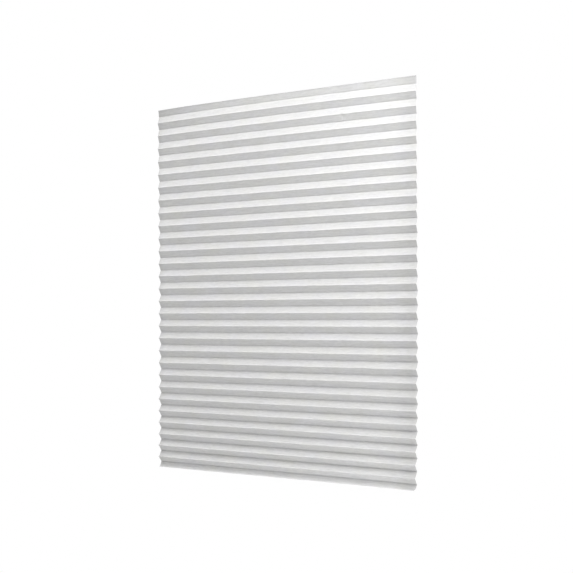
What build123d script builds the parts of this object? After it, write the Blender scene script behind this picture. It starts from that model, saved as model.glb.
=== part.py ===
"""Pleated window blind: one long sheet of non-woven polyester, folded to and fro
into pleats, that hangs by an adhesive tape stuck along the back of its top panel.

Millimetres. +Z is up, +X runs across the blind and the room side faces -Y.
The origin is the centre of the tape's outer face, where the blind meets the window.
"""

from build123d import *

import os
from math import cos, radians, sin

# ---- The sheet -------------------------------------------------------------
BLIND_WIDTH = 1000.0  # across the window
PLEATS = 29  # each pleat is one panel running back and one running forward
PANEL_LENGTH = 26.0  # from crease to crease along the sheet
TOP_PANEL_LENGTH = 22.6  # the first panel, cut short at the top edge
HEM_PANEL_LENGTH = 20.5  # the last panel, where the sheet was cut off
SHEET_THICKNESS = 0.3
CREASE_RADIUS = 0.4  # on the inside of each crease

# ---- How far the hanging pleats open ---------------------------------------
# A panel's lean is its angle from the vertical. The top pleats carry the whole
# sheet and are pulled open, and the bottom ones carry nothing and stay closed.
TOP_LEAN = 23.5
BOTTOM_LEAN = 37.0
LEAN_GROWTH = 1.6  # above 1, most of the change is in the lower half
TOP_PANEL_LEAN = 11.5  # the tape holds the first panel nearer the vertical
HEM_PANEL_LEAN = 30.0  # the last panel hangs by its crease alone

# ---- The fixing tape -------------------------------------------------------
TAPE_WIDTH = 15.0
TAPE_THICKNESS = 0.8
TAPE_EDGE_GAP = 2.0  # below the sheet's top edge
TAPE_END_GAP = 5.0  # inside each side edge

PANELS = 2 * PLEATS


def panel_length(index):
    """Length of a panel along the sheet; the top one is number 0."""
    if index == 0:
        return TOP_PANEL_LENGTH
    if index == PANELS - 1:
        return HEM_PANEL_LENGTH
    return PANEL_LENGTH


def panel_lean(index):
    """Angle of a panel from the vertical, in degrees."""
    if index == 0:
        return TOP_PANEL_LEAN
    if index == PANELS - 1:
        return HEM_PANEL_LEAN
    share_down = (index + 0.5) / PANELS
    return TOP_LEAN + (BOTTOM_LEAN - TOP_LEAN) * share_down**LEAN_GROWTH


def panel_direction(index):
    """Unit vector down a panel, as (Y, Z): even panels run back, odd ones forward."""
    lean = radians(panel_lean(index))
    away = 1 if index % 2 == 0 else -1
    return Vector(away * sin(lean), -cos(lean))


def crease_points():
    """The sheet's middle line as (Y, Z): its top edge, every crease, its bottom edge."""
    points = [Vector(0, 0)]
    for index in range(PANELS):
        points.append(points[-1] + panel_direction(index) * panel_length(index))
    return points


def room_side(direction):
    """Unit vector square to a panel, towards the room."""
    return Vector(direction.Y, -direction.X)


def offset_points(points, distance):
    """The middle line moved square to each panel, towards the room if positive."""
    normals = [room_side(panel_direction(i)) for i in range(PANELS)]
    moved = [points[0] + normals[0] * distance]
    for before, after, point in zip(normals, normals[1:], points[1:-1]):
        corner = before + after
        moved.append(point + corner * (distance / corner.dot(after)))
    moved.append(points[-1] + normals[-1] * distance)
    return moved


def crease_radii(on_room_side):
    """One radius for each crease; a crease's outside is one thickness larger."""
    outside = CREASE_RADIUS + SHEET_THICKNESS
    radii = []
    for index in range(1, PANELS):
        points_at_room = index % 2 == 0
        radii.append(outside if points_at_room == on_room_side else CREASE_RADIUS)
    return radii


def pleated_sheet():
    """The whole folded sheet, as one solid."""
    middle = crease_points()
    room = offset_points(middle, SHEET_THICKNESS / 2)
    window = offset_points(middle, -SHEET_THICKNESS / 2)
    with BuildPart() as sheet:
        with BuildSketch(Plane.YZ):
            with BuildLine():
                FilletPolyline(*room, radius=crease_radii(on_room_side=True))
                FilletPolyline(*window, radius=crease_radii(on_room_side=False))
                Polyline(room[0], window[0])
                Polyline(room[-1], window[-1])
            make_face()
        extrude(amount=BLIND_WIDTH / 2, both=True)
    return sheet.part


def fixing_tape():
    """The adhesive tape, lying on the window side of the top panel."""
    down = panel_direction(0)
    outward = -room_side(down)
    seat = down * TAPE_EDGE_GAP + outward * (SHEET_THICKNESS / 2)
    corners = [
        seat,
        seat + down * TAPE_WIDTH,
        seat + down * TAPE_WIDTH + outward * TAPE_THICKNESS,
        seat + outward * TAPE_THICKNESS,
    ]
    with BuildPart() as tape:
        with BuildSketch(Plane.YZ):
            with BuildLine():
                Polyline(*corners, close=True)
            make_face()
        extrude(amount=BLIND_WIDTH / 2 - TAPE_END_GAP, both=True)
    return tape.part


def fixing_face_centre():
    """Centre of the tape's outer face, measured from the sheet's top edge."""
    down = panel_direction(0)
    outward = -room_side(down)
    return down * (TAPE_EDGE_GAP + TAPE_WIDTH / 2) + outward * (
        SHEET_THICKNESS / 2 + TAPE_THICKNESS
    )


def main():
    centre = fixing_face_centre()
    to_origin = Pos(0, -centre.X, -centre.Y)
    os.makedirs("parts", exist_ok=True)
    export_step(to_origin * pleated_sheet(), "parts/pleated_sheet.step")
    export_step(to_origin * fixing_tape(), "parts/fixing_tape.step")


main()
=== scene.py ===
# %% [markdown]
# # A pleated window blind
# This blind is one long sheet of white non-woven polyester, folded to and fro like a fan.
# Nothing stiffens it: it hangs from a strip of adhesive tape along the back of its top
# panel, and its own weight opens the folds. The lesson makes the folds, the cloth, the
# tape, their finishes, and then the studio, in that order.

# %% Load the frame
from math import cos, log, radians, sin

import bpy
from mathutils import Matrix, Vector


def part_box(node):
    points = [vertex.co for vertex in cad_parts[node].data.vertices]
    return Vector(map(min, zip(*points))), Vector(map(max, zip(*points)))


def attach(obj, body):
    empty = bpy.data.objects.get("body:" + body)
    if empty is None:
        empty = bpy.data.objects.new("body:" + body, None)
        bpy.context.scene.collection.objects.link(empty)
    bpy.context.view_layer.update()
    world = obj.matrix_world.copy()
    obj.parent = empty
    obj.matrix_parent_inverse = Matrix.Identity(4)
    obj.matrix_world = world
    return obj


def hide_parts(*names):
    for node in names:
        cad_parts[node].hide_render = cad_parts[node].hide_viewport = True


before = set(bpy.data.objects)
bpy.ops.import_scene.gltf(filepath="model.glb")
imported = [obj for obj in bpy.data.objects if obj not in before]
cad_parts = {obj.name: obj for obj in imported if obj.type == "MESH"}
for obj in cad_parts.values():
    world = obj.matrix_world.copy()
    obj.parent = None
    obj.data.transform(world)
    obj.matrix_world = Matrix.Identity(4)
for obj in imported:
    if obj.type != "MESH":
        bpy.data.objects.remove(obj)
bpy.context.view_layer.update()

SHEET_LOW, SHEET_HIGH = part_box("pleated_sheet")
TAPE_LOW, TAPE_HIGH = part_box("fixing_tape")

# %% [markdown]
# ## The sizes
# A pleated sheet is told by very few numbers: how long one panel is from crease to
# crease, how many panels there are, and how far each leans from the vertical. The top
# panels carry all the cloth below them, so they are pulled nearly straight. The bottom
# ones carry nothing and stay closed. One curve between those two leans gives every fold.

# %% Sizes of the cloth and the tape, in metres
MM = 0.001
BLIND_WIDTH = SHEET_HIGH.x - SHEET_LOW.x
PLEATS = 29
PANELS = 2 * PLEATS
PANEL_LENGTH = 26.0 * MM
TOP_PANEL_LENGTH = 22.6 * MM  # the two ends of the sheet were cut short
HEM_PANEL_LENGTH = 20.5 * MM
CLOTH_LENGTH = TOP_PANEL_LENGTH + (PANELS - 2) * PANEL_LENGTH + HEM_PANEL_LENGTH
CLOTH_THICKNESS = 0.3 * MM

TOP_PANEL_LEAN = radians(11.5)
TAPE_LENGTH = TAPE_HIGH.x - TAPE_LOW.x
TAPE_WIDTH = 15.0 * MM
TAPE_THICKNESS = 0.8 * MM
TAPE_EDGE_GAP = 2.0 * MM

# The frame's origin is the middle of the tape's outer face, so the cloth's top edge is
# found by walking back from there.
down_panel = Vector((0, sin(TOP_PANEL_LEAN), -cos(TOP_PANEL_LEAN)))
to_window = Vector((0, cos(TOP_PANEL_LEAN), sin(TOP_PANEL_LEAN)))
TOP_EDGE = -down_panel * (TAPE_EDGE_GAP + TAPE_WIDTH / 2)
TOP_EDGE -= to_window * (CLOTH_THICKNESS / 2 + TAPE_THICKNESS)
print("flat cloth", round(BLIND_WIDTH, 3), "by", round(CLOTH_LENGTH, 4), "m")

# %% [markdown]
# ## Node trees that read like sums
# The folds are a rule, so Geometry Nodes make them. A tree of Math nodes is slow to
# write and hard to read, so this small class lets Python's own signs place the nodes:
# `a + b * c` adds a Multiply and an Add node and wires them up.

# %% Signs that place nodes
def add_node(tree, kind, inputs=(), **settings):
    """Add a node and feed its inputs, by index or name, with numbers or with links."""
    node = tree.nodes.new(kind)
    for name, value in settings.items():
        setattr(node, name, value)
    for key, value in dict(inputs).items():
        value = getattr(value, "socket", value)
        if isinstance(value, bpy.types.NodeSocket):
            tree.links.new(value, node.inputs[key])
        else:
            node.inputs[key].default_value = value
    return node


class Number:
    """A number inside a node tree: each sign between two of them is one Math node."""

    def __init__(self, tree, socket):
        self.tree = tree
        self.socket = socket

    def maths(self, operation, *values):
        node = add_node(self.tree, "ShaderNodeMath", enumerate(values), operation=operation)
        return Number(self.tree, node.outputs[0])

    def __add__(self, other):
        return self.maths("ADD", self, other)

    def __sub__(self, other):
        return self.maths("SUBTRACT", self, other)

    def __rsub__(self, other):
        return self.maths("SUBTRACT", other, self)

    def __mul__(self, other):
        return self.maths("MULTIPLY", self, other)

    def __truediv__(self, other):
        return self.maths("DIVIDE", self, other)

    def __pow__(self, other):
        return self.maths("POWER", self, other)

    def __mod__(self, other):
        return self.maths("MODULO", self, other)

    def equals(self, other):
        return self.maths("COMPARE", self, other, 0.5)

    __radd__ = __add__
    __rmul__ = __mul__


print("signs that place a Math node: + - * / ** %")

# %% [markdown]
# A tree is a group with named sockets, so a size is fed in by its name, and one group can
# stand in several trees. Mixing two numbers is the sum that nearly every rule below uses.
# It works on plain numbers as well as on nodes.

# %% Groups, vectors and mixes
def new_tree(kind, name, inputs, outputs):
    """A new group; inputs and outputs map each socket's name to its type."""
    tree = bpy.data.node_groups.new(name, kind)
    for in_out, sockets in (("INPUT", inputs), ("OUTPUT", outputs)):
        for label, socket_type in sockets.items():
            tree.interface.new_socket(label, in_out=in_out, socket_type="NodeSocket" + socket_type)
    entry = tree.nodes.new("NodeGroupInput")
    given = {}
    for socket in entry.outputs:
        given[socket.name] = Number(tree, socket)
    return tree, given, tree.nodes.new("NodeGroupOutput")


def vector(tree, x=0.0, y=0.0, z=0.0):
    """Three numbers joined into one vector."""
    return add_node(tree, "ShaderNodeCombineXYZ", enumerate((x, y, z))).outputs[0]


def mix(start, end, share):
    """From start, at a share of 0, to end, at a share of 1."""
    return start + (end - start) * share


print("half way from 2 to 4 is", mix(2.0, 4.0, 0.5))

# %% [markdown]
# ## The fold line
# Seen from the side, the whole sheet is one zigzag line. The first tree makes only that:
# a row of points, one for each crease. Every point knows the step that leads to it, and
# Accumulate Field adds the steps up, the way a paper strip grows fold by fold. Panels
# with an even number run back to the window, and odd ones come forward to the room.

# %% Fold line tree
FOLD_SIZES = {
    "Panels": PANELS,
    "Panel Length": PANEL_LENGTH,
    "Top Length": TOP_PANEL_LENGTH,
    "Hem Length": HEM_PANEL_LENGTH,
    "Top Lean": radians(23.5),
    "Bottom Lean": radians(37.0),
    "Lean Growth": 1.6,  # above 1, most of the change is in the lower half
    "Top Panel Lean": TOP_PANEL_LEAN,
    "Hem Lean": radians(30.0),
}


def fold_line_tree():
    """A line of points at the creases, from the top edge to the hem, starting at zero."""
    tree, given, result = new_tree(
        "GeometryNodeTree", "fold line", dict.fromkeys(FOLD_SIZES, "Float"), {"Creases": "Geometry"}
    )
    crease = Number(tree, add_node(tree, "GeometryNodeInputIndex").outputs[0])
    panels = given["Panels"]
    share_down = (crease - 0.5) / panels
    lean = mix(given["Top Lean"], given["Bottom Lean"], share_down ** given["Lean Growth"])
    lean = mix(lean, given["Top Panel Lean"], crease.equals(1))
    lean = mix(lean, given["Hem Lean"], crease.equals(panels))
    length = mix(given["Panel Length"], given["Top Length"], crease.equals(1))
    length = mix(length, given["Hem Length"], crease.equals(panels))
    length = length * (1 - crease.equals(0))
    backwards = (crease % 2) * 2 - 1
    step = vector(
        tree,
        y=length * backwards * lean.maths("SINE", lean),
        z=length * -1 * lean.maths("COSINE", lean),
    )
    running = add_node(tree, "GeometryNodeAccumulateField", {"Value": step}, data_type="FLOAT_VECTOR")
    row = add_node(tree, "GeometryNodeMeshLine", {"Count": panels + 1, "Offset": (0, 0, 0)})
    moved = {"Geometry": row.outputs[0], "Position": running.outputs["Leading"]}
    placed = add_node(tree, "GeometryNodeSetPosition", moved)
    tree.links.new(placed.outputs[0], result.inputs["Creases"])
    return tree


FOLD_LINE = fold_line_tree()
print("fold line tree:", len(FOLD_LINE.nodes), "nodes")

# %% [markdown]
# ## The cloth's own shape
# A straight zigzag looks like a machine part. Real cloth gives itself away in small ways,
# and each is a line or two of sums here. The next tree answers one question: where is the
# point that lies this far across, and this share of the way down panel number n? The cloth
# and the tape stuck to it both ask it, so they always agree. The answer is put together
# from three shorter ones: where the panel's two creases are, how far the panel bulges
# between them, and how the whole sheet hangs. These are its sizes.

# %% Sizes of the cloth's own shape
CLOTH_SHAPE = {
    "Width": BLIND_WIDTH,
    # The creases.
    "Wander": 0.9 * MM,  # how far they stray at the hem
    "Wander Reach": 70 * MM,  # the distance over which they stray
    "Ridge Drop": 1.2 * MM,  # the room-side ones lie a little below the middle, at the top
    "Valley Lift": 2.2 * MM,  # and the window-side ones a little above it, at the hem
    # The panels.
    "Top Bow": 0.3 * MM,  # how far a panel's middle stands back, at the top
    "Hem Bow": 1.1 * MM,
    "Top Sag": 0.2 * MM,  # how far a panel's middle sinks under its own weight
    "Hem Sag": 0.7 * MM,
    "Top Spring": 0.4 * MM,  # the set of the creases bends each panel to a faint S
    "Hem Spring": 0.95 * MM,
    "Dents": 0.36 * MM,
    "Dent Width": 45 * MM,
    "Pull": 0.12 * MM,  # the tape draws faint slanting wrinkles into the top pleats
    "Wrinkle Width": 10 * MM,
    "Crumple": 5.0 * MM,  # a small one near the top, where the folded sheet was gripped
    "Crumple Across": 0.245,  # metres to the right of the middle
    "Crumple Panel": 4.3,  # panels below the top edge
    "Crumple Width": 14 * MM,
    "Crumple Height": 0.6,  # in panels
    # The hang, back and forth.
    "Belly": 4.5 * MM,  # the sheet leans out at its top and hangs back lower down
    "Twist": 3.5 * MM,  # its right end hangs back at the top and comes forward at the hem
    "Set Back": 2.5 * MM,  # the whole sheet, which brings its top edge back near its place
    "Top Turn": 1.8 * MM,  # the top edge stands a little off the straight, most at the left
    # The hang, up and down.
    "Top Cut": 2.6 * MM,  # the top edge isn't cut square: it runs up towards its right end
    "Arch": 3.5 * MM,  # the top edge droops at its ends
    "Left Droop": 2.0 * MM,  # and most at its left corner
    "Top Settling": 2.6 * MM,  # the pleats don't open evenly: some stretches hang lower
    "Hem Settling": 1.2 * MM,
    "Hem Rise": 1.7 * MM,  # the last pleats stay closer together than the others
    "Hem Lift": 4.2 * MM,  # and curl up towards the right end
    "Hem Droop": 3.8 * MM,  # where the hem itself hangs down again
    # Along the blind.
    "Top Slip": -1.2 * MM,  # how far the window-side creases lie to the right of the others
    "Middle Slip": 1.5 * MM,  # more to the right again, most of all below the middle
    "Hem Slip": 2.0 * MM,
    "Ragged Sides": 0.4 * MM,  # the two cuts are not quite straight
    "Corner Trim": 3.0 * MM,  # the left side's cut slants in at the top
    "Corner Wear": 5.0 * MM,  # the hem's right corner is worn round
}
print("the cloth's shape has", len(CLOTH_SHAPE), "sizes")

# %% [markdown]
# Every rule below fades in or out across the sheet or down it, so this small class works
# out the shares once. `wavering` is the only source of chance: smooth noise along a line.

# %% Shares and noise that the rules use
TOP_FADE = 0.16  # how fast a change at the top edge dies away, for each panel down
LINE_SPACING = 7.31  # how far apart two lines lie in the noise, so that no two are alike
SALTS = {"up": 40, "dents": 80, "sides": 120, "wrinkles": 170}  # each chance has its own noise


def exp(number):
    """e to the power of the number."""
    return number.maths("EXPONENT", number)


def fading(distance, width):
    """1 on a line, and less and less over this width beside it."""
    share = distance / width
    return exp(share * share * -1)


class Spot:
    """Where a point of the flat cloth is, told in the shares that the rules use.

    A high power of a share keeps a change close to the end where that share is 1.
    """

    def __init__(self, given):
        self.across = given["Across"]
        self.panels_down = given["Panel"] + given["Share"]
        self.panels_above_hem = given["Panels"] - self.panels_down
        self.share_down = self.panels_down / given["Panels"]
        self.near_top = exp(self.panels_down * -TOP_FADE)  # 1 at the top edge
        self.near_edge = self.panels_down.maths("MAXIMUM", 1 - self.panels_down, 0)  # in one panel
        self.from_middle = self.across * 2 / given["Width"]  # -1 at the left side, 1 at the right
        self.to_left = 0.5 - self.from_middle * 0.5  # 0 at the right side, 1 at the left
        self.to_right = self.from_middle * 0.5 + 0.5
        self.odd = given["Panel"] % 2  # even panels run back to the window, odd ones forward
        self.from_ridge = mix(given["Share"], 1 - given["Share"], self.odd)


def wavering(tree, across, line, salt, detail=1.0):
    """Smooth noise from -1 to 1 along a line; each line and each salt has its own."""
    place = vector(tree, across, line * LINE_SPACING, salt)
    noise = add_node(tree, "ShaderNodeTexNoise", {"Vector": place, "Scale": 1.0, "Detail": detail})
    return Number(tree, noise.outputs[0]) * 2 - 1


def half_wave(share):
    """0 at a share of 0, up to 1 at a half, and 0 again at 1."""
    return share.maths("SINE", share * radians(180))


print("a change at the top edge is halved in", round(log(2) / TOP_FADE, 1), "panels")

# %% [markdown]
# A fold in soft cloth is never quite straight: each crease wanders a little up and down
# and back and forth. Sample Index reads a crease's place from the fold line by its number.

# %% Where a panel's two creases are
TOP_WANDER = 0.45  # the top pleats are pulled taut and stray this much as far as the hem's
RIDGE_DROP_FADE = 0.08  # for each panel down from the top edge
VALLEY_LIFT_FADE = 0.35  # for each panel up from the hem


def panel_ends(tree, given, spot):
    """The (y, z) of the crease above the panel, and of the one below it."""
    here = add_node(tree, "GeometryNodeInputPosition").outputs[0]
    reach = spot.across / given["Wander Reach"]
    ends = []
    for crease in (given["Panel"], given["Panel"] + 1):
        asked = {"Geometry": given["Creases"], "Value": here, "Index": crease}
        found = add_node(tree, "GeometryNodeSampleIndex", asked, data_type="FLOAT_VECTOR")
        on_line = add_node(tree, "ShaderNodeSeparateXYZ", {0: found.outputs[0]})
        at_window = crease % 2
        at_room = 1 - at_window - crease.equals(0)
        dropped = given["Ridge Drop"] * exp(crease * -RIDGE_DROP_FADE) * at_room
        lifted = given["Valley Lift"] * (1 - spot.to_right**8) * at_window
        lifted = lifted * exp((crease - given["Panels"]) * VALLEY_LIFT_FADE)
        stray = given["Wander"] * mix(TOP_WANDER, 1.0, crease / given["Panels"])
        y_stray = stray * wavering(tree, reach, crease, given["Seed"])
        z_stray = stray * wavering(tree, reach, crease, given["Seed"] + SALTS["up"])
        y = Number(tree, on_line.outputs[1]) + y_stray
        z = Number(tree, on_line.outputs[2]) + z_stray - dropped + lifted
        ends.append((y, z))
    return ends


print("creases stray about", round(CLOTH_SHAPE["Wander"] / MM, 2), "mm at the hem")

# %% [markdown]
# Between its creases a panel isn't flat. It bows back, sags under its weight, and bends to
# an S because the folds still want to close. Even panels face down, so their sag swells
# towards the room, and odd ones sink back. Quick slanting waves are strong in one crumple,
# a thumb wide, and faint all along the top, where the tape pulls on the cloth.

# %% How far a panel bulges
WRINKLE_SLANT = 3.6  # wrinkle widths to the right, for each panel down
WRINKLE_CHANGE = 0.12  # how fast the wrinkles change from one panel to the next
DENT_CHANGE = 0.4


def panel_bulge(tree, given, spot):
    """How far the point stands out, towards the room, from the line between the creases."""
    bow = mix(given["Top Bow"], given["Hem Bow"], spot.share_down)
    sag = mix(given["Top Sag"], 0.0, spot.share_down) + given["Hem Sag"] * spot.share_down**6
    sag = sag * (1 - spot.odd * 2)
    dents_across = spot.across / given["Dent Width"]
    dent_seed = given["Seed"] + SALTS["dents"]
    dent = wavering(tree, dents_across, spot.panels_down * DENT_CHANGE, dent_seed, detail=2.0)
    bulge = spot.from_ridge * (1 - spot.from_ridge) * 4
    s_bend = spot.from_ridge.maths("SINE", spot.from_ridge * radians(360))
    spring = mix(given["Top Spring"], given["Hem Spring"], spot.share_down**2)

    crumple = fading(spot.across - given["Crumple Across"], given["Crumple Width"])
    crumple = crumple * fading(spot.panels_down - given["Crumple Panel"], given["Crumple Height"])
    slanting = spot.across / given["Wrinkle Width"] - spot.panels_down * WRINKLE_SLANT
    wrinkle_seed = given["Seed"] + SALTS["wrinkles"]
    waves = wavering(tree, slanting, spot.panels_down * WRINKLE_CHANGE, wrinkle_seed)
    creased = (given["Crumple"] * crumple + given["Pull"] * spot.near_top) * waves
    return (sag - bow + given["Dents"] * dent) * bulge - spring * s_bend + creased


print("panels bow back", round(CLOTH_SHAPE["Hem Bow"] / MM, 2), "mm at the hem")

# %% [markdown]
# The hang is what the eye reads last and misses most: no long sheet hangs flat, with its
# top edge level and its folds evenly open. These are slow changes over the whole sheet.

# %% How the whole sheet hangs
BELLY_START = 0.2  # of the way down: the sheet leans out above this and hangs back below
SETTLING_LENGTH = 0.57  # of the way down, from one stretch that hangs lower to the next
HEM_LIFT_FADE = 0.3  # for each panel up from the hem, like the next two
HEM_DROOP_FADE = 0.9
HEM_RISE_FADE = 0.12
SIDE_CHANGE = 0.5  # how fast the ragged sides change from one panel to the next


def hang_back(given, spot):
    """How far the sheet hangs towards the window."""
    swing = (spot.share_down - BELLY_START) * radians(180 / (1 - BELLY_START))
    belly = swing.maths("SINE", swing)
    twist = spot.from_middle * (1 - spot.share_down**3 * 2)
    # The top edge's turn is least a little to the right of its middle.
    turn = (1 - spot.from_middle * (0.9 - spot.from_middle * 1.2)) * spot.near_edge
    back = given["Belly"] * belly + given["Twist"] * twist + given["Set Back"]
    return back - given["Top Turn"] * turn


def hang_up(given, spot):
    """How far the sheet hangs above the straight fold line."""
    arch = 0.5 - spot.from_middle * spot.from_middle
    up = given["Arch"] * arch - given["Left Droop"] * spot.to_left**12
    up = up * spot.near_top + given["Top Cut"] * spot.to_right**5 * spot.near_edge
    more_at_left = 0.65 - spot.from_middle * 0.35
    uneven = half_wave(spot.share_down / SETTLING_LENGTH) ** 2 * more_at_left
    up = up - mix(given["Top Settling"], given["Hem Settling"], spot.share_down) * uneven
    up = up + given["Hem Lift"] * spot.to_right**2 * exp(spot.panels_above_hem * -HEM_LIFT_FADE)
    up = up - given["Hem Droop"] * spot.to_right**6 * exp(spot.panels_above_hem * -HEM_DROOP_FADE)
    return up + given["Hem Rise"] * exp(spot.panels_above_hem * -HEM_RISE_FADE)


def along_blind(tree, given, spot):
    """Where the point is along the blind, once its creases have slipped and its sides are cut."""
    slip = mix(given["Top Slip"], given["Hem Slip"], spot.share_down) * (spot.from_ridge - 0.5)
    slip = slip + given["Middle Slip"] * spot.from_ridge * half_wave(spot.share_down * spot.share_down)
    side_seed = given["Seed"] + SALTS["sides"]
    ragged = wavering(tree, spot.from_middle, spot.panels_down * SIDE_CHANGE, side_seed)
    side_cut = spot.from_middle**31 * given["Ragged Sides"] * ragged
    in_hem_panel = given["Panel"].equals(given["Panels"] - 1)
    worn = given["Corner Wear"] * spot.to_right**24 * given["Share"] ** 3 * in_hem_panel
    trimmed = given["Corner Trim"] * spot.to_left**24 * spot.near_edge
    return spot.across + slip + side_cut + trimmed - worn


print("the sheet bellies", round(CLOTH_SHAPE["Belly"] / MM, 2), "mm back")

# %% [markdown]
# The last tree puts the three answers together. The bulge is measured square to the line
# from crease to crease, so it keeps its depth however far the panel leans. The tree also
# tells which way the room is, because the tape has to stand off on the other side.

# %% Place on the cloth tree
def cloth_place_tree():
    """Where a point of the flat cloth is, and which way the cloth faces there."""
    inputs = {"Creases": "Geometry", "Across": "Float", "Panel": "Float", "Share": "Float"}
    inputs.update(dict.fromkeys(CLOTH_SHAPE, "Float"))
    inputs.update({"Panels": "Float", "Seed": "Float"})
    tree, given, result = new_tree(
        "GeometryNodeTree", "place on the cloth", inputs, {"Position": "Vector", "To Room": "Vector"}
    )
    spot = Spot(given)
    (upper_y, upper_z), (lower_y, lower_z) = panel_ends(tree, given, spot)

    # Square to the line between the two creases, towards the room.
    run_y = lower_y - upper_y
    run_z = lower_z - upper_z
    length = (run_y * run_y + run_z * run_z) ** 0.5
    room_y = run_z / length
    room_z = run_y / length * -1

    out = panel_bulge(tree, given, spot)
    y = mix(upper_y, lower_y, given["Share"]) + room_y * out + hang_back(given, spot)
    z = mix(upper_z, lower_z, given["Share"]) + room_z * out + hang_up(given, spot)
    place = vector(tree, along_blind(tree, given, spot), y + TOP_EDGE.y, z + TOP_EDGE.z)
    tree.links.new(place, result.inputs["Position"])
    tree.links.new(vector(tree, 0.0, room_y, room_z), result.inputs["To Room"])
    return tree


CLOTH_PLACE = cloth_place_tree()
print("place on the cloth tree:", len(CLOTH_PLACE.nodes), "nodes")

# %% [markdown]
# ## From a flat grid to a piece
# The cloth and the tape both start as a flat grid and end as a mesh with a material. The
# grid's flat place is kept as a UV map in metres, so that fibres and stains can be drawn
# on the sheet as if it lay on the cutting table, and they follow every fold.

# %% Beginnings and ends that both pieces share
def flat_grid(tree, width, height, columns, rows):
    """A flat grid's mesh, and how far each point is across, from the middle, and down."""
    sizes = {"Size X": width, "Size Y": height, "Vertices X": columns + 1, "Vertices Y": rows + 1}
    grid = add_node(tree, "GeometryNodeMeshGrid", sizes)
    here = add_node(tree, "GeometryNodeInputPosition").outputs[0]
    flat = add_node(tree, "ShaderNodeSeparateXYZ", {0: here})
    across = Number(tree, flat.outputs[0])
    down = height / 2 - Number(tree, flat.outputs[1])
    return grid.outputs["Mesh"], across, down


def nest(tree, group, kind, given):
    """Place a group in a tree and feed the inputs that are given by name."""
    node = add_node(tree, kind, node_tree=group)
    for socket in node.inputs:
        if socket.name in given:
            value = getattr(given[socket.name], "socket", given[socket.name])
            if isinstance(value, bpy.types.NodeSocket):
                tree.links.new(value, socket)
            else:
                socket.default_value = value
    return node


def place_node(tree, given, **flat_place):
    """The group that answers where a point of the cloth is, wired to its fold line."""
    creases = nest(tree, FOLD_LINE, "GeometryNodeGroup", given).outputs[0]
    asked = dict(given, Creases=creases, **flat_place)
    return nest(tree, CLOTH_PLACE, "GeometryNodeGroup", asked)


def laid_out(tree, mesh, across, down, position):
    """The mesh moved to this position, with its flat place kept as a UV map."""
    mapped = add_node(
        tree,
        "GeometryNodeStoreNamedAttribute",
        {"Geometry": mesh, "Name": "UVMap", "Value": vector(tree, across, down * -1)},
        data_type="FLOAT2",
        domain="CORNER",
    )
    moved = {"Geometry": mapped.outputs[0], "Position": position}
    return add_node(tree, "GeometryNodeSetPosition", moved).outputs[0]


def finish_tree(tree, given, result, geometry):
    """The end of a piece's tree: plain geometry, in the piece's material."""
    realised = add_node(tree, "GeometryNodeRealizeInstances", {0: geometry})
    painted = {"Geometry": realised.outputs[0], "Material": given["Material"]}
    finished = add_node(tree, "GeometryNodeSetMaterial", painted)
    tree.links.new(finished.outputs[0], result.inputs["Geometry"])


print("groups that both pieces place:", FOLD_LINE.name, "and", CLOTH_PLACE.name)

# %% [markdown]
# A tree does nothing until a modifier runs it. These helpers make an object from a tree
# and a set of sizes, thicken it, and then keep the result as an ordinary mesh, so that
# nothing live is left on the finished piece.

# %% Run a tree and keep its mesh
def grown(name, tree, sizes, material):
    """An object whose mesh is grown by a node tree with these sizes."""
    piece = bpy.data.objects.new(name, bpy.data.meshes.new(name))
    bpy.context.scene.collection.objects.link(piece)
    modifier = piece.modifiers.new("grow", "NODES")
    modifier.node_group = tree
    for item in tree.interface.items_tree:
        if item.in_out == "INPUT":
            modifier[item.identifier] = material if item.name == "Material" else float(sizes[item.name])
    return piece


def thicken(piece, thickness):
    """Give a surface its thickness, half of it on each side."""
    solidify = piece.modifiers.new("thickness", "SOLIDIFY")
    solidify.thickness = thickness
    solidify.offset = 0.0
    solidify.use_even_offset = True


def settle(piece):
    """Swap the modifiers for the mesh that they make."""
    graph = bpy.context.evaluated_depsgraph_get()
    mesh = bpy.data.meshes.new_from_object(piece.evaluated_get(graph), depsgraph=graph)
    piece.modifiers.clear()
    piece.data = mesh
    mesh.calc_loop_triangles()
    print(piece.name, "has", len(mesh.loop_triangles), "triangles")


print("a piece is grown, thickened and settled, in that order")

# %% [markdown]
# ## The pleated cloth
# Now a flat grid becomes the cloth. Its rows are crowded near the creases, where the
# cloth turns sharply, and sparse on the panels, and its columns are crowded at the
# crumple, so the detail goes where it is seen. The cut edges are kept sharp, and
# Solidify gives the sheet its 0.3 mm. A cloth simulation could make this too, but the
# folds of a pleated sheet are set by heat and hold their shape, so a rule is truer.

# %% Pleated cloth tree
ROWS_PER_PANEL = 6
COLUMNS = 140
CROWDED_WIDTH = 45 * MM  # beside the crumple, whose waves are hardly wider than a column
CROWDING = 0.65  # the share by which its columns stand closer together than the others
SEED = 5.0
HAIR = 0.01  # of a row


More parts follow.
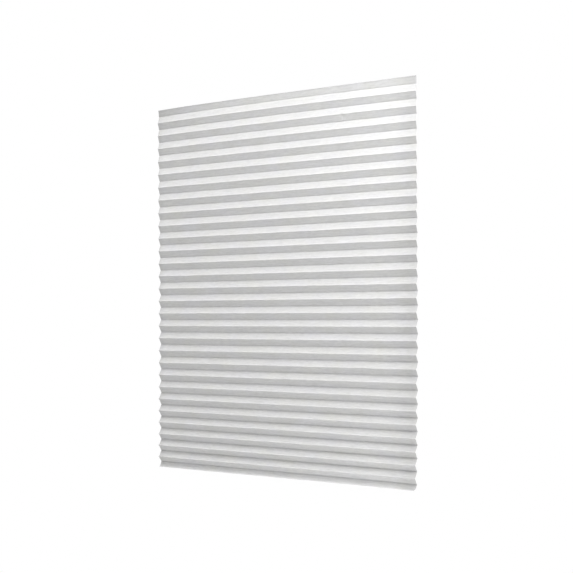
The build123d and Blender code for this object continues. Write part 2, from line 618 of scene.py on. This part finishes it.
def pleated_cloth_tree():
    """The whole sheet as one grid, folded."""
    sizes = {**FOLD_SIZES, **CLOTH_SHAPE, "Rows": 0, "Columns": 0, "Seed": 0}
    inputs = dict.fromkeys(sizes, "Float")
    inputs["Material"] = "Material"
    tree, given, result = new_tree("GeometryNodeTree", "pleated cloth", inputs, {"Geometry": "Geometry"})
    rows = given["Panels"] * given["Rows"]
    mesh, across, row = flat_grid(tree, given["Width"], rows, given["Columns"], rows)
    beside_crumple = across - given["Crumple Across"]
    across = across - beside_crumple * fading(beside_crumple, CROWDED_WIDTH) * CROWDING
    # A hair is added, so that rounding never counts a crease's own row to the panel above.
    panel = row.maths("FLOOR", (row + HAIR) / given["Rows"])
    panel = panel.maths("MINIMUM", panel, given["Panels"] - 1)
    even_share = row / given["Rows"] - panel
    turn = even_share * radians(360)
    share = even_share - turn.maths("SINE", turn) / radians(360)
    place = place_node(tree, given, Across=across, Panel=panel, Share=share)

    in_top_panel = panel.equals(0)
    length = mix(given["Panel Length"], given["Hem Length"], panel.equals(given["Panels"] - 1))
    length = mix(length, given["Top Length"], in_top_panel)
    cut_short = (given["Panel Length"] - given["Top Length"]) * in_top_panel
    down = panel * given["Panel Length"] + share * length + cut_short
    folded = laid_out(tree, mesh, across, down, place.outputs["Position"])

    faces_beside = add_node(tree, "GeometryNodeInputMeshEdgeNeighbors").outputs[0]
    cut_edge = Number(tree, faces_beside).equals(1)
    sharp = {"Geometry": folded, "Selection": cut_edge, "Shade Smooth": False}
    edged = add_node(tree, "GeometryNodeSetShadeSmooth", sharp, domain="EDGE")
    finish_tree(tree, given, result, edged.outputs[0])
    return tree


print("flat grid:", PANELS * ROWS_PER_PANEL, "rows by", COLUMNS, "columns")

# %% [markdown]
# The tree is run here, the surface gets its thickness, and the mesh is kept. The finish
# has only its name as yet, and its looks are made further down.

# %% The cloth
CLOTH_FINISH = bpy.data.materials.new("white_nonwoven")
cloth_sizes = {**FOLD_SIZES, **CLOTH_SHAPE, "Rows": ROWS_PER_PANEL, "Columns": COLUMNS, "Seed": SEED}
cloth = grown("pleated_cloth", pleated_cloth_tree(), cloth_sizes, CLOTH_FINISH)
thicken(cloth, CLOTH_THICKNESS)
settle(cloth)

# %% [markdown]
# ## The tape
# The tape lies on the window side of the top panel. It asks the same tree for its place,
# so it bends and droops exactly as the cloth does, and then stands off by its thickness.

# %% Tape tree
TAPE_ROWS = 6


def tape_tree():
    """A strip behind the top panel, set off from the middle of the cloth's thickness."""
    sizes = {**FOLD_SIZES, **CLOTH_SHAPE, "Tape Length": 0, "Tape Width": 0, "Edge Gap": 0}
    inputs = dict.fromkeys({**sizes, "Stand Off": 0, "Rows": 0, "Columns": 0, "Seed": 0}, "Float")
    inputs["Material"] = "Material"
    tree, given, result = new_tree("GeometryNodeTree", "mounting tape", inputs, {"Geometry": "Geometry"})
    mesh, across, down = flat_grid(
        tree, given["Tape Length"], given["Tape Width"], given["Columns"], given["Rows"]
    )
    down = down + given["Edge Gap"]
    place = place_node(tree, given, Across=across, Panel=0.0, Share=down / given["Top Length"])
    off = {0: place.outputs["To Room"], "Scale": given["Stand Off"] * -1}
    behind = add_node(tree, "ShaderNodeVectorMath", off, operation="SCALE")
    both = {0: place.outputs["Position"], 1: behind.outputs[0]}
    spot = add_node(tree, "ShaderNodeVectorMath", both, operation="ADD")
    finish_tree(tree, given, result, laid_out(tree, mesh, across, down, spot.outputs[0]))
    return tree


print("tape:", round(TAPE_LENGTH, 3), "by", round(TAPE_WIDTH, 3), "m")

# %% [markdown]
# The tape is given the cloth's own sizes too, so whatever bends the cloth bends the tape.
# Its middle stands off by half of each thickness, so its face just touches the cloth.

# %% The tape
TAPE_FINISH = bpy.data.materials.new("mounting_tape")
tape_sizes = {
    **cloth_sizes,
    "Tape Length": TAPE_LENGTH,
    "Tape Width": TAPE_WIDTH,
    "Edge Gap": TAPE_EDGE_GAP,
    "Stand Off": CLOTH_THICKNESS / 2 + TAPE_THICKNESS / 2,
    "Rows": TAPE_ROWS,
}
tape = grown("mounting_tape", tape_tree(), tape_sizes, TAPE_FINISH)
thicken(tape, TAPE_THICKNESS)
settle(tape)

# %% [markdown]
# ## Finishes
# Both finishes start from the flat place that the trees kept, in metres, so a fibre is as
# long on the screen as on the bench. The cloth and the tape's carrier are both webs of
# short fibres laid down wet, so they share two effects, cloudy patches and a fibre web.

# %% Where a pattern lies
def flat_place(tree):
    """The flat place of the point being shaded, in metres: across, and minus down."""
    return add_node(tree, "ShaderNodeUVMap", uv_map="UVMap").outputs[0]


def stretched(tree, place, across_size, down_size, seed):
    """The place counted in pieces of this size, moved to its own part of the noise."""
    size = vector(tree, across_size, down_size, 1.0)
    counted = add_node(tree, "ShaderNodeVectorMath", {0: place, 1: size}, operation="DIVIDE")
    shifted = {0: counted.outputs[0], 1: vector(tree, 0.0, 0.0, seed)}
    return add_node(tree, "ShaderNodeVectorMath", shifted, operation="ADD").outputs[0]


print("a pattern is laid on the flat sheet,", round(CLOTH_LENGTH, 4), "m long")

# %% [markdown]
# Cloudy patches are the way such a web is thicker in some places than in others. One
# group of soft noise makes them all: drawn out across the sheet, its patches are streaks.

# %% Cloudy patches
def cloudy_patches_group():
    """Soft patches, from -1 to 1, of any size across and down."""
    inputs = {"Place": "Vector", "Across Size": "Float", "Down Size": "Float", "Seed": "Float"}
    tree, given, result = new_tree("ShaderNodeTree", "cloudy patches", inputs, {"Amount": "Float"})
    spot = stretched(tree, given["Place"], given["Across Size"], given["Down Size"], given["Seed"])
    noise = add_node(tree, "ShaderNodeTexNoise", {"Vector": spot, "Scale": 1.0, "Detail": 2.0})
    # Noise keeps close to a half, so it is spread out to reach about -1 and 1.
    amount = (Number(tree, noise.outputs[0]) - 0.5) * 3.5
    tree.links.new(amount.socket, result.inputs["Amount"])
    return tree


CLOUDY_PATCHES = cloudy_patches_group()


def cloudy(tree, place, across_size, down_size, seed):
    """Cloudy patches of this size, placed in a material."""
    given = {"Place": place, "Across Size": across_size, "Down Size": down_size, "Seed": seed}
    return Number(tree, nest(tree, CLOUDY_PATCHES, "ShaderNodeGroup", given).outputs[0])


print("cloudy patches group:", len(CLOUDY_PATCHES.nodes), "nodes")

# %% [markdown]
# The fibre web is the fibres themselves. Where noise crosses a half it draws thin winding
# lines, and a few layers of those, each turned its own way, lie over each other as fibres
# do. Most lie nearly across the sheet, the way the machine runs.

# %% Fibre web
FIBRE_ANGLES = (-34, -12, 3, 19, 41)  # degrees from straight across
LAYERS_APART = 9  # in the noise, so that no two layers are alike


def fibre_web_group():
    """Fine crossing fibres: 1 on a fibre and 0 between them."""
    inputs = {"Place": "Vector"}
    inputs.update(dict.fromkeys(("Length", "Spacing", "Fineness", "Seed"), "Float"))
    tree, given, result = new_tree("ShaderNodeTree", "fibre web", inputs, {"Fibres": "Float"})
    web = None
    for number, angle in enumerate(FIBRE_ANGLES):
        facing = {"Vector": given["Place"], "Angle": radians(angle)}
        turned = add_node(tree, "ShaderNodeVectorRotate", facing, rotation_type="Z_AXIS").outputs[0]
        seed = given["Seed"] + number * LAYERS_APART
        spot = stretched(tree, turned, given["Length"], given["Spacing"], seed)
        noise = add_node(tree, "ShaderNodeTexNoise", {"Vector": spot, "Scale": 1.0, "Detail": 1.0})
        off_line = Number(tree, noise.outputs[0]) - 0.5
        off_line = off_line.maths("ABSOLUTE", off_line) * given["Fineness"]
        fibre = off_line.maths("MAXIMUM", 1 - off_line, 0)
        web = fibre if web is None else web.maths("MAXIMUM", web, fibre)
    tree.links.new(web.socket, result.inputs["Fibres"])
    return tree


FIBRE_WEB = fibre_web_group()


def fibres(tree, place, length, spacing, fineness, seed):
    """A fibre web of this make, placed in a material."""
    given = {"Place": place, "Length": length, "Spacing": spacing, "Fineness": fineness, "Seed": seed}
    return Number(tree, nest(tree, FIBRE_WEB, "ShaderNodeGroup", given).outputs[0])


print("fibre web group:", len(FIBRE_WEB.nodes), "nodes")

# %% [markdown]
# What is left is the same for both finishes: a colour that is tinted from place to place,
# and a relief so shallow that a bump is enough for it.

# %% Tint and relief
def tinted(tree, brightness, warm, colour):
    """A colour made lighter or darker, and a little yellower or bluer, from place to place."""
    red, green, blue = colour
    parts = (brightness * red, brightness * green, brightness * blue * (1 - warm))
    return add_node(tree, "ShaderNodeCombineColor", enumerate(parts)).outputs[0]


def raised(tree, height, depth):
    """The surface normal of a relief that is this deep where its height falls by 1."""
    bump = {"Strength": 1.0, "Distance": depth, "Height": height}
    return add_node(tree, "ShaderNodeBump", bump).outputs[0]


def principled(material):
    """A material's own shader, with its tree."""
    material.use_nodes = True
    tree = material.node_tree
    return tree, tree.nodes["Principled BSDF"]


print("groups in all:", len(bpy.data.node_groups))

# %% [markdown]
# ## White non-woven
# The cloth is matt white polyester, pressed and not woven. What the eye picks up is not
# one colour but a drift of them: cloudy patches a finger wide, long faint streaks that
# follow the machine's run across the sheet, and single fibres close to. Painted light is
# added too: a painted highlight along each fold that points at the room, and painted
# shade inside the folds, most of all towards the hem, and over the upper left corner.
# The cut sides are a little darker. Nothing here needs an
# image: noise, and the distance to the nearest fold or side, say all of it.

# %% White non-woven
CLOTH_COLOUR = (0.665, 0.6635, 0.661)
FOLD_HIGHLIGHT_WIDTH = 1.7 * MM
FOLD_SHADE_WIDTH = 2.8 * MM
LEFT_DULL_WIDTH = 14 * MM
RIGHT_DULL_WIDTH = 60 * MM  # wider than on the left
CORNER_SHADE_ACROSS = 170 * MM
CORNER_SHADE_DOWN = 120 * MM


def finish_cloth(material):
    """Matt white non-woven with painted fold highlights, painted fold and corner shade, and darker
    sides.
    """
    tree, shader = principled(material)
    place = flat_place(tree)
    parts = add_node(tree, "ShaderNodeSeparateXYZ", {0: place})
    across = Number(tree, parts.outputs[0])
    down = Number(tree, parts.outputs[1]) * -1

    patches = cloudy(tree, place, across_size=16 * MM, down_size=6 * MM, seed=1.0)
    wide_patches = cloudy(tree, place, across_size=90 * MM, down_size=60 * MM, seed=2.0)
    streaks = cloudy(tree, place, across_size=55 * MM, down_size=2.2 * MM, seed=3.0)
    fine_streaks = cloudy(tree, place, across_size=20 * MM, down_size=0.8 * MM, seed=4.0)
    web = fibres(tree, place, length=9 * MM, spacing=1.1 * MM, fineness=14.0, seed=5.0)
    warm_patches = cloudy(tree, place, across_size=80 * MM, down_size=50 * MM, seed=6.0)

    # Odd creases lie at the window and even ones at the room. The distance to the nearest
    # of each is a saw that falls and rises once in two panels.
    to_room_fold = down.maths("PINGPONG", down, PANEL_LENGTH)
    to_window_fold = PANEL_LENGTH - to_room_fold
    patchy = 1 + cloudy(tree, place, across_size=30 * MM, down_size=30 * MM, seed=7.0) * 0.4
    # A painted highlight along each fold that points at the room, in patches.
    painted_fold_highlight = fading(to_room_fold, FOLD_HIGHLIGHT_WIDTH) * patchy
    share_down = down / CLOTH_LENGTH
    # Painted shade inside each fold that points at the window, growing towards the hem.
    painted_fold_shade = fading(to_window_fold, FOLD_SHADE_WIDTH) * (0.35 + share_down**4)
    from_left = across + BLIND_WIDTH / 2
    from_right = BLIND_WIDTH / 2 - across
    # The cut sides are made darker, and painted shade darkens the upper left corner.
    darker_sides_and_corner_shade = fading(from_left, LEFT_DULL_WIDTH) * 0.08 + fading(from_right, RIGHT_DULL_WIDTH) * 0.12
    darker_sides_and_corner_shade = darker_sides_and_corner_shade + fading(from_left, CORNER_SHADE_ACROSS) * fading(down, CORNER_SHADE_DOWN) * 0.08

    # Each number here is the share of the brightness that its effect adds or takes away.
    brightness = 1 + patches * 0.053 + wide_patches * 0.02 + streaks * 0.10 + fine_streaks * 0.05
    brightness = brightness + web * 0.03 + painted_fold_highlight * 0.10 * (1.1 - share_down * 0.5)
    brightness = brightness - painted_fold_shade * 0.11 - darker_sides_and_corner_shade
    colour = tinted(tree, brightness, warm_patches * 0.03, CLOTH_COLOUR)
    tree.links.new(colour, shader.inputs["Base Color"])
    roughness = 0.86 + patches * 0.03 - web * 0.06 + painted_fold_shade * 0.05 - painted_fold_highlight * 0.04
    tree.links.new(roughness.socket, shader.inputs["Roughness"])
    relief = web * 0.45 + fine_streaks * 0.2 + patches * 0.2 + streaks * 0.2
    tree.links.new(raised(tree, relief, 0.10 * MM), shader.inputs["Normal"])
    shader.inputs["Specular IOR Level"].default_value = 0.3
    shader.inputs["Sheen Weight"].default_value = 0.08
    shader.inputs["Sheen Roughness"].default_value = 0.5


finish_cloth(CLOTH_FINISH)
print("cloth:", len(CLOTH_FINISH.node_tree.nodes), "nodes")

# %% [markdown]
# ## Mounting tape
# The tape is a tissue carrier soaked in soft adhesive. It is yellower and smoother than
# the cloth, tacky enough to shine, and air caught under the adhesive shows as small
# blisters. Dust sticks first along its two long edges.

# %% Mounting tape
TAPE_COLOUR = (0.70, 0.67, 0.58)
BLISTER_SPACING = 3.5 * MM
BLISTER_RADIUS = 0.22  # in blister spacings
EDGE_DUST_WIDTH = 0.9 * MM


def finish_tape(material):
    """Slightly yellow, half-shiny tissue tape with blisters and dusty edges."""
    tree, shader = principled(material)
    place = flat_place(tree)
    down = Number(tree, add_node(tree, "ShaderNodeSeparateXYZ", {0: place}).outputs[1]) * -1
    patches = cloudy(tree, place, across_size=12 * MM, down_size=6 * MM, seed=11.0)
    web = fibres(tree, place, length=6 * MM, spacing=0.8 * MM, fineness=11.0, seed=12.0)
    off_middle = down - (TAPE_EDGE_GAP + TAPE_WIDTH / 2)
    to_edge = TAPE_WIDTH / 2 - off_middle.maths("ABSOLUTE", off_middle)
    dusty_patches = cloudy(tree, place, across_size=5 * MM, down_size=5 * MM, seed=13.0)
    dusty_edge = fading(to_edge, EDGE_DUST_WIDTH) * (1 + dusty_patches * 0.5)

    spot = stretched(tree, place, BLISTER_SPACING, BLISTER_SPACING, 14.0)
    cells = add_node(tree, "ShaderNodeTexVoronoi", {"Vector": spot, "Scale": 1.0})
    from_centre = Number(tree, cells.outputs["Distance"])
    blister = fading(from_centre, BLISTER_RADIUS)

    brightness = 1 + patches * 0.03 + web * 0.05 + blister * 0.04 - dusty_edge * 0.16
    colour = tinted(tree, brightness, patches * 0.02, TAPE_COLOUR)
    tree.links.new(colour, shader.inputs["Base Color"])
    roughness = 0.46 + patches * 0.05 + dusty_edge * 0.3 - blister * 0.08
    tree.links.new(roughness.socket, shader.inputs["Roughness"])
    relief = web * 0.25 + blister * 0.5 + patches * 0.2
    tree.links.new(raised(tree, relief, 0.12 * MM), shader.inputs["Normal"])
    shader.inputs["Coat Weight"].default_value = 0.25
    shader.inputs["Coat Roughness"].default_value = 0.3


finish_tape(TAPE_FINISH)
print("tape:", len(TAPE_FINISH.node_tree.nodes), "nodes")

# %% [markdown]
# ## Camera
# A window blind looks right when its sides stand upright in the render. So the camera
# stays level, 28.5 degrees round to the blind's right, and its lens is shifted up a little
# to take in the whole drop, the way tall buildings are taken. Tilting the camera instead
# would make the sides lean towards each other.

# %% Camera
VIEW_ASIDE = radians(28.5)
CAMERA_FROM_TOP_EDGE = Vector((1.504, -2.7062, -0.7717))  # metres, from its middle
LENS = 56.8  # in millimetres, as the sensor is
SENSOR_WIDTH = 36.0
SHIFT_UP = 0.0578  # of the sensor's width

camera = bpy.data.objects.new("camera", bpy.data.cameras.new("camera"))
bpy.context.scene.collection.objects.link(camera)
camera.location = TOP_EDGE + CAMERA_FROM_TOP_EDGE
camera.rotation_euler = (radians(90), 0, VIEW_ASIDE)
camera.data.sensor_width = SENSOR_WIDTH
camera.data.lens = LENS
camera.data.shift_y = SHIFT_UP
camera.data.clip_end = 100
bpy.context.scene.camera = camera
print("camera at", [round(value, 3) for value in camera.location])

# %% [markdown]
# ## Lights
# White cloth on white has only its shading to show its folds. Two soft boxes stand high
# in the room, one on each side, so the panels that face up are bright and those that face
# down are a step darker. A weak one near the right and one low down keep the undersides
# from going flat, and one behind lights the back, for whoever walks round.

# %% Lights
SOFT_BOX_SIDE = 0.8


def soft_light(name, watts, place, aim):
    """A square soft box that points at a spot."""
    data = bpy.data.lights.new(name, "AREA")
    data.shape = "SQUARE"
    data.size = SOFT_BOX_SIDE
    data.energy = watts
    light = bpy.data.objects.new(name, data)
    light.location = place
    light.rotation_euler = (Vector(aim) - Vector(place)).to_track_quat("-Z", "Y").to_euler()
    light.visible_camera = False
    bpy.context.scene.collection.objects.link(light)


soft_light("upper left", watts=28.5, place=(-1.2, -0.9, 1.8), aim=(-0.18, 0, -0.5))
soft_light("upper right", watts=30, place=(1.7, -0.9, 1.1), aim=(0.18, 0, -0.5))
soft_light("near right", watts=4, place=(0.8, -0.9, 0.2), aim=(0.18, 0, -0.5))
soft_light("low", watts=4.8, place=(0.7, -0.4, -2.0), aim=(0.1, 0, -0.8))
soft_light("behind", watts=16, place=(-0.7, 2.0, 1.0), aim=(0, 0, -0.5))
print("lights:", len(bpy.data.lights))

# %% [markdown]
# ## Floor and background
# The floor is pale and the sky is an even white, so both throw soft light back at the
# blind. Lit that way they would look grey, so Light Path is asked whether a ray comes
# straight from the camera, and if it does, it sees plain white instead.

# %% Floor and background
FLOOR_DROP = 2.1  # from the head of a window to the floor
FLOOR_HALF_SIDE = 12.0
SKY_STRENGTH = 0.55
FLOOR_PAINT = (0.8, 0.8, 0.8, 1)
WHITE = (1, 1, 1, 1)


def white_to_camera(tree, shown_as, lit):
    """A shader that lights the room as it is, but is seen as plain white."""
    white = add_node(tree, shown_as, {"Color": WHITE, "Strength": 1.0})
    rays = add_node(tree, "ShaderNodeLightPath")
    choice = {0: rays.outputs["Is Camera Ray"], 1: lit.outputs[0], 2: white.outputs[0]}
    return add_node(tree, "ShaderNodeMixShader", choice).outputs[0]


def emptied(owner):
    """The node tree of a world or a material, with nothing in it."""
    owner.use_nodes = True
    owner.node_tree.nodes.clear()
    return owner.node_tree


world = bpy.data.worlds.new("studio")
bpy.context.scene.world = world
tree = emptied(world)
sky = add_node(tree, "ShaderNodeBackground", {"Color": WHITE, "Strength": SKY_STRENGTH})
seen = white_to_camera(tree, "ShaderNodeBackground", sky)
add_node(tree, "ShaderNodeOutputWorld", {"Surface": seen})

floor_finish = bpy.data.materials.new("pale_floor")
tree = emptied(floor_finish)
paint = add_node(tree, "ShaderNodeBsdfDiffuse", {"Color": FLOOR_PAINT})
seen = white_to_camera(tree, "ShaderNodeEmission", paint)
add_node(tree, "ShaderNodeOutputMaterial", {"Surface": seen})

floor_height = TOP_EDGE.z - FLOOR_DROP
floor_corners = []
for x, y in ((-1, -1), (1, -1), (1, 1), (-1, 1)):
    floor_corners.append((x * FLOOR_HALF_SIDE, y * FLOOR_HALF_SIDE, floor_height))
floor_mesh = bpy.data.meshes.new("floor")
floor_mesh.from_pydata(floor_corners, [], [(0, 1, 2, 3)])
floor_mesh.materials.append(floor_finish)
floor = bpy.data.objects.new("floor", floor_mesh)
bpy.context.scene.collection.objects.link(floor)
bpy.context.scene.view_settings.view_transform = "Standard"
print("floor at", round(floor_height, 3), "m")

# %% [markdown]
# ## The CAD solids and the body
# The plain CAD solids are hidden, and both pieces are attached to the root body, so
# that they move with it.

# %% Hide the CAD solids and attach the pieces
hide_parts("pleated_sheet")
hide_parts("fixing_tape")
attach(cloth, "root")
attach(tape, "root")
